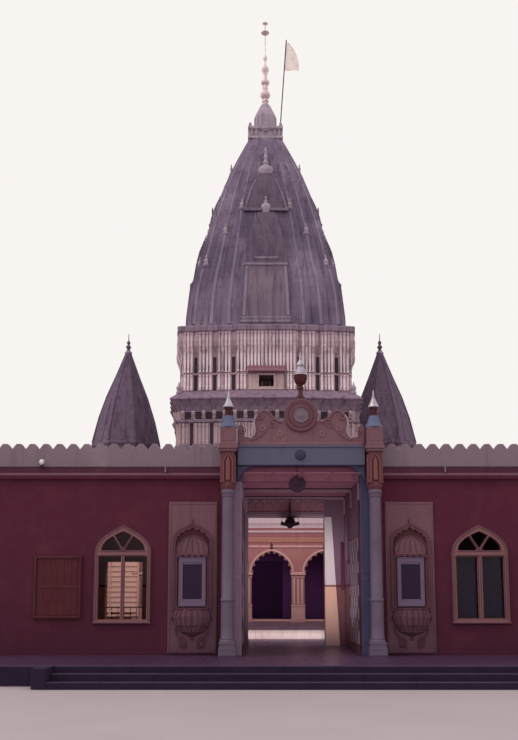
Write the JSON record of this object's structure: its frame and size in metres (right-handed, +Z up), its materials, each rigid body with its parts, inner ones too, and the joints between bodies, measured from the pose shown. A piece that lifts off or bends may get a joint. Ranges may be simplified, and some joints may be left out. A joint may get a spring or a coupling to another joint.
{
  "type": "hindu temple with a gateway range and a curved tower",
  "caption": "North Indian temple: red entrance range with a painted gateway and steps, courtyard, arcaded shrine, tall curved stone tower and two side spires.",
  "frame": {"origin": "centre of the gateway on plan, at the front face of the entrance range, on the ground under the terrace", "axes": "+Z up, +X to the right seen from the front, +Y from the gateway back to the shrine"},
  "size_m": [17.4, 21.76, 27.6103],
  "materials": {
    "weathered_stone": "rough",
    "lime_plaster": "matte",
    "red_limewash": "matte",
    "pink_limewash": "matte",
    "lilac_limewash": "matte",
    "cream_paint": "satin",
    "blue_paint": "satin",
    "orange_paint": "satin",
    "old_wood": "worn",
    "dark_bronze": "dull",
    "gilt_brass": "worn",
    "flag_cloth": "matte",
    "window_glass": "polished"
  },
  "bodies": {
    "root": {"terrace": "weathered_stone", "step_cheek_left": "weathered_stone", "step_cheek_right": "weathered_stone", "middle_step": "weathered_stone", "lower_step": "weathered_stone", "front_wall_left": "red_limewash", "front_wall_right": "red_limewash", "end_wall_left": "red_limewash", "end_wall_right": "red_limewash", "passage_wall_left": "pink_limewash", "passage_wall_right": "pink_limewash", "rear_wall": "pink_limewash", "front_roof": "lime_plaster", "parapet_left": "lilac_limewash", "parapet_right": "lilac_limewash", "window_left": "cream_paint", "window_right": "cream_paint", "window_glass_right": "window_glass", "niche_panel_left": "cream_paint", "niche_panel_right": "cream_paint", "niche_frame_left": "lilac_limewash", "niche_frame_right": "lilac_limewash", "notice_board_left": "old_wood", "notice_board_right": "old_wood", "gate_column_left": "lilac_limewash", "gate_column_right": "lilac_limewash", "gate_capital_left": "orange_paint", "gate_capital_right": "orange_paint", "gate_kiosk_left": "blue_paint", "gate_kiosk_right": "blue_paint", "gate_frame": "blue_paint", "pediment": "orange_paint", "medallion": "dark_bronze", "pediment_finial": "lime_plaster", "gong": "dark_bronze", "hanging_lamp": "dark_bronze", "shrine_plinth": "weathered_stone", "arcade": "pink_limewash", "shrine_walls": "pink_limewash", "shrine_roof": "red_limewash", "shrine_parapet": "lilac_limewash", "sanctum_walls": "lime_plaster", "tower_lower_storey": "lime_plaster", "tower_eave": "weathered_stone", "tower_drum": "lime_plaster", "spire_cornice": "weathered_stone", "shikhara": "weathered_stone", "face_spire_front": "weathered_stone", "face_spire_right": "weathered_stone", "face_spire_rear": "weathered_stone", "face_spire_left": "weathered_stone", "spire_neck": "weathered_stone", "kalash": "gilt_brass", "flag_pole": "dark_bronze", "flag": "flag_cloth", "side_spire_left": "weathered_stone", "side_spire_right": "weathered_stone"}
  },
  "joints": []
}
